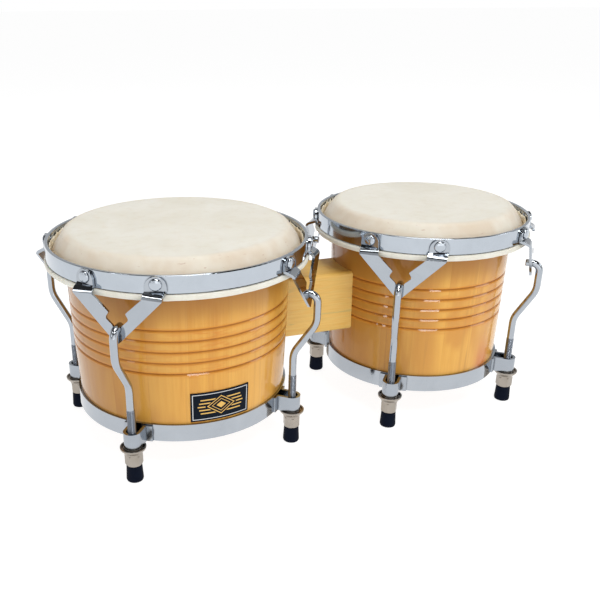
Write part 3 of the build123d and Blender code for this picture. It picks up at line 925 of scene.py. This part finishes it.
def metal(name, colour, low, high, smear=(0.9, 0.9, 0.9), scratches=0.02, crevice_shade=0.0):
    """Plated metal: uneven polish between the roughnesses low and high, faint stains, hairline scratches.

    smear is the stains' colour as a share of the metal's. The last argument paints shade into the colour:
    it darkens what stands within that many millimetres of another surface.
    """
    n = Nodes(name)
    place = n.place()
    cloud = n.noise(place, 45.0, 4.0, 0.6, 0.6)
    fine = n.noise(place, 1400.0, 2.0, 0.6)
    hair = n.noise(n.scaled(place, (1.0, 1.0, 0.05)), 1600.0, 2.0, 0.7)
    dull = tuple(c * s for c, s in zip(colour, smear))
    tint = n.mix(n.ramp(cloud, 0.35, 0.75, 0.0, 0.8), colour, dull)
    spread = n.math("ADD", n.ramp(cloud, 0.3, 0.7, low, high), n.ramp(hair, 0.5, 0.8, 0.0, 0.05))
    if crevice_shade:
        # painted shade: nearly black where another surface stands close
        near = n.add("ShaderNodeAmbientOcclusion", samples=8)
        near.inputs["Distance"].default_value = crevice_shade * MM
        painted_crevice_shade = n.ramp(near.outputs["AO"], 0.35, 0.85, 0.75, 0.0, True)
        tint = n.mix(painted_crevice_shade, tint, (0.03, 0.03, 0.035))
    return n.finish(
        Base_Color=tint,
        Metallic=1.0,
        Roughness=spread,
        Normal=n.bump(n.math("ADD", fine, hair), scratches, 0.0003),
    )


def rubber():
    n = Nodes("rubber")
    place = n.place()
    cloud = n.noise(place, 120.0, 4.0, 0.6)
    fine = n.noise(place, 2200.0, 3.0, 0.6)
    colour = n.mix(n.ramp(cloud, 0.35, 0.7), (0.002, 0.004, 0.012), (0.004, 0.007, 0.017))
    colour = n.mix(n.ramp(fine, 0.6, 0.8, 0.0, 0.3), colour, (0.02, 0.022, 0.03))
    return n.finish(
        Base_Color=colour,
        Roughness=n.ramp(cloud, 0.3, 0.7, 0.50, 0.66),
        Specular_IOR_Level=0.05,
        Normal=n.bump(n.math("ADD", fine, cloud), 0.12, 0.0004),
    )


def badge_print():
    """Dark enamel plate with a silver frame and a made-up pattern: nested lozenges between stacked bars.

    Lengths are in millimetres from the plate's middle.
    """
    n = Nodes("badge")
    angle, z, _ = drum_place(n, LARGE)
    face_r = LARGE.foot_r + BADGE_OUT
    across = n.product(n.math("SUBTRACT", angle, BADGE_ANGLE), face_r)
    up = n.math("SUBTRACT", n.math("DIVIDE", z, MM), (BADGE_Z[0] + BADGE_Z[1]) / 2)
    half_w = BADGE_HALF * face_r
    half_h = (BADGE_Z[1] - BADGE_Z[0]) / 2
    ax, ay = n.math("ABSOLUTE", across), n.math("ABSOLUTE", up)
    soft = 0.12

    def inside(value, limit):
        """1 where value is under the limit."""
        return n.ramp(value, limit - soft / 2, limit + soft / 2, 1.0, 0.0)

    def line(value, centre, width):
        """1 where value is within half the width of centre."""
        return inside(n.math("ABSOLUTE", n.math("SUBTRACT", value, centre)), width / 2)

    from_edge = n.math("MINIMUM", n.math("SUBTRACT", half_w, ax), n.math("SUBTRACT", half_h, ay))
    silver = line(from_edge, 1.7, 0.65)
    lozenge = n.math("ADD", n.product(ax, 0.72), ay)
    gold = line(lozenge, 8.3, 0.9)
    gold = n.math("MAXIMUM", gold, line(lozenge, 5.6, 0.6))
    gold = n.math("MAXIMUM", gold, inside(lozenge, 3.0))
    for height, reach in ((0.0, 19.8), (3.1, 18.6), (6.2, 17.4)):
        beside = n.math("SUBTRACT", 1.0, inside(lozenge, 9.9))
        gold = n.math("MAXIMUM", gold, n.product(line(ay, height, 1.1), inside(ax, reach), beside))
    gold = n.product(gold, n.math("SUBTRACT", 1.0, inside(from_edge, 2.8)))
    wear = n.noise(n.place(), 900.0, 3.0, 0.6)
    scuff = n.ramp(wear, 0.30, 0.45, 0.75, 1.0)
    colour = n.mix(n.ramp(wear, 0.4, 0.7), (0.004, 0.008, 0.015), (0.008, 0.013, 0.022))
    colour = n.mix(n.product(gold, scuff), colour, (0.74, 0.47, 0.14))
    colour = n.mix(n.product(silver, scuff), colour, (0.62, 0.64, 0.66))
    bare = n.math("MAXIMUM", gold, silver)
    return n.finish(
        Base_Color=colour,
        Metallic=n.product(bare, 0.85),
        Roughness=n.math("ADD", n.ramp(wear, 0.3, 0.7, 0.30, 0.42), n.product(bare, 0.05)),
        Specular_IOR_Level=0.05,
        Normal=n.bump(n.math("ADD", bare, n.product(wear, 0.15)), 0.25, 0.0002),
    )


# ------------------------------------------------------------------ stage
FLOOR_GLOW = 0.90
SKY = (     # (direction from straight down to straight up, brightness)
    (0.0, 1.0), (0.525, 1.0), (0.57, 0.58), (0.78, 0.52), (0.84, 0.04), (0.95, 0.04), (1.0, 0.3)
)
WARM = (1.0, 0.99, 0.97)
LIGHTS = (
    # name, place, aim, size, power, colour
    ("overhead box", (0.02, -0.22, 1.65), (0, 0, 0.19), (0.9, 0.60), 10.5, WARM),
    ("front strip", (0.07, -1.48, 2.0), (0.07, 0, 0.1), (0.76, 0.30), 10.5, WARM),
    ("side glint", (-1.50, -0.45, 2.0), (0, 0, 0.1), (0.16, 0.26), 1.7, WARM),
    ("front fill", (-0.1, -1.6, 0.50), (0, 0, 0.12), (1.9, 0.85), 4.5, (1.0, 0.98, 0.95)),
    ("left box", (-1.6, -0.6, 0.9), (0, 0, 0.1), (0.22, 0.55), 1.2, (1, 1, 1)),
    ("right box", (1.7, -0.6, 1.0), (0, 0, 0.1), (0.60, 0.55), 3.5, (1, 1, 1)),
    ("back box", (0.1, 1.4, 1.9), (0, 0, 0.19), (1.5, 1.0), 4.0, WARM),
)


def white_floor():
    """Product table: mostly self-lit white, so that only faint contact shadows show."""
    n = Nodes("floor")
    colour = n.mix(n.noise(n.place(), 3.0, 2.0), (0.30, 0.30, 0.30), (0.32, 0.32, 0.32))
    return n.finish(
        Base_Color=colour,
        Roughness=0.8,
        Specular_IOR_Level=0.0,
        Emission_Color=(1.0, 1.0, 1.0),
        Emission_Strength=FLOOR_GLOW,
    )


def make_floor():
    mesh = bpy.data.meshes.new("floor")
    bm = bmesh.new()
    bmesh.ops.create_circle(bm, cap_ends=True, radius=40.0, segments=96)
    bm.to_mesh(mesh)
    bm.free()
    floor = bpy.data.objects.new("floor", mesh)
    floor.location.z = -0.0002      # clear of the feet
    bpy.context.scene.collection.objects.link(floor)
    floor.data.materials.append(white_floor())


def make_lights():
    for name, place, aim, size, power, colour in LIGHTS:
        data = bpy.data.lights.new(name, "AREA")
        data.shape = "RECTANGLE"
        data.size, data.size_y = size
        data.energy = power
        data.color = colour
        lamp = bpy.data.objects.new(name, data)
        lamp.location = place
        lamp.rotation_mode = "QUATERNION"
        lamp.rotation_quaternion = (Vector(aim) - Vector(place)).to_track_quat("-Z", "Y")
        bpy.context.scene.collection.objects.link(lamp)


def make_world():
    """What the chrome shows: white below the horizon, grey walls above it, and a dark ceiling, less so
    straight overhead.
    """
    world = bpy.data.worlds.new("studio")
    world.use_nodes = True
    tree = world.node_tree
    background = tree.nodes["Background"]
    coord = tree.nodes.new("ShaderNodeTexCoord")
    split = tree.nodes.new("ShaderNodeSeparateXYZ")
    ramp = tree.nodes.new("ShaderNodeValToRGB")
    ramp.color_ramp.interpolation = "EASE"
    while len(ramp.color_ramp.elements) < len(SKY):
        ramp.color_ramp.elements.new(0.5)
    for element, (direction, grey) in zip(ramp.color_ramp.elements, SKY):
        element.position = direction
        element.color = (grey, grey, grey, 1)
    position = tree.nodes.new("ShaderNodeMath")     # from -1 to 1 to the ramp's 0 to 1
    position.operation = "MULTIPLY_ADD"
    position.inputs[1].default_value = 0.5
    position.inputs[2].default_value = 0.5
    tree.links.new(coord.outputs["Generated"], split.inputs[0])
    tree.links.new(split.outputs["Z"], position.inputs[0])
    tree.links.new(position.outputs[0], ramp.inputs[0])
    tree.links.new(ramp.outputs[0], background.inputs["Color"])
    background.inputs["Strength"].default_value = 1.0
    bpy.context.scene.world = world
    bpy.context.scene.view_settings.view_transform = "Standard"
    bpy.context.scene.view_settings.look = "None"


# ------------------------------------------------------------------ assembly
make_camera()
make_floor()
make_lights()
make_world()

chrome = metal("chrome", (0.48, 0.525, 0.58), 0.05, 0.12, crevice_shade=2.5)
rod_chrome = metal("rod_chrome", (0.42, 0.455, 0.50), 0.05, 0.12, crevice_shade=2.5)
# darker than the chrome as painted shade of the lugs low by the floor; rougher as a satin finish
lug_chrome = metal("lug_chrome", (0.37, 0.405, 0.45), 0.12, 0.20, crevice_shade=2.5)
thread_steel = metal("thread_steel", (0.26, 0.29, 0.34), 0.22, 0.34, (0.85, 0.85, 0.85), 0.05)
nickel = metal("nickel", (0.38, 0.345, 0.305), 0.24, 0.40, (0.8, 0.78, 0.74), 0.06)
steel = metal("plain_steel", (0.42, 0.42, 0.43), 0.3, 0.45, (0.8, 0.8, 0.8), 0.06)
black_rubber = rubber()
hide = hoop_skin()
frayed = fringe_skin()
pine = block_wood()
print_ink = badge_print()
woods = {d.name: shell_wood(d) for d in DRUMS}
skins = {d.name: skin(d) for d in DRUMS}

SHARED_FINISH = {"centre_block": pine, "block_bolts": steel, "block_nuts": nickel, "badge": print_ink}
DRUM_FINISH = {
    "flesh_hoop": hide,
    "washers": nickel,
    "backing_plate": steel,
    "lugs": lug_chrome,
    "bottom_ring": rod_chrome,
}
for name, node in NODES.items():
    drum_name, _, part = name.partition("_")
    if name in SHARED_FINISH:
        material = SHARED_FINISH[name]
    elif part == "shell":
        material = woods[drum_name]
    elif part == "head":
        material = skins[drum_name]
    elif part.startswith("foot"):
        material = black_rubber
    elif part.startswith("nut"):
        material = nickel
    else:
        material = DRUM_FINISH.get(part, chrome)
    node.data.materials.clear()
    node.data.materials.append(material)

for drum in DRUMS:
    name = drum.name
    whole = drum.place()

    shell = lathe(f"{name}_turned_shell", lambda _: shell_section(drum), TURNED, whole, [woods[name]])
    keep_corners(shell)
    settle(shell, ROOT, "shell_wood", f"{name}_shell")

    head = lathe(f"{name}_skin", lambda a: head_section(drum, a), TURNED, whole, [skins[name]])
    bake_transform(head)
    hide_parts(f"{name}_head")

    hoop = lathe(f"{name}_lapped_hoop", lambda a: hoop_section(drum, a), LAPPED, whole, [hide])
    settle(hoop, drum.rim_body, "hoop_skin", f"{name}_flesh_hoop")
    fringe = lathe(f"{name}_fringe", lambda a: fringe_section(drum, a), FRAYED, whole, [frayed])
    settle(fringe, drum.rim_body, "hoop_skin")

    points, faces = rivet_mesh(drum)
    buttons = add_mesh(f"{name}_button_rivets", points, faces, whole, [chrome])
    settle(buttons, drum.rim_body, "chrome", f"{name}_rivets")

    places = zip(drum.lug_angles(), drum.claw_angles())
    for number, (lug_angle, claw_angle) in enumerate(places, start=1):
        points, faces, indices = hook_mesh(drum, lug_angle, claw_angle)
        finishes = [rod_chrome, thread_steel]
        rod = add_mesh(f"{name}_j_hook_{number}", points, faces, whole, finishes, indices)
        settle(rod, drum.rim_body, "chrome", f"{name}_hook_{number}")
        points, faces = claw_mesh(drum)
        plate = add_mesh(f"{name}_claw_plate_{number}", points, faces, drum.place(claw_angle), [rod_chrome])
        round_edges(plate, 0.45)
        settle(plate, drum.rim_body, "chrome", f"{name}_claw_{number}")
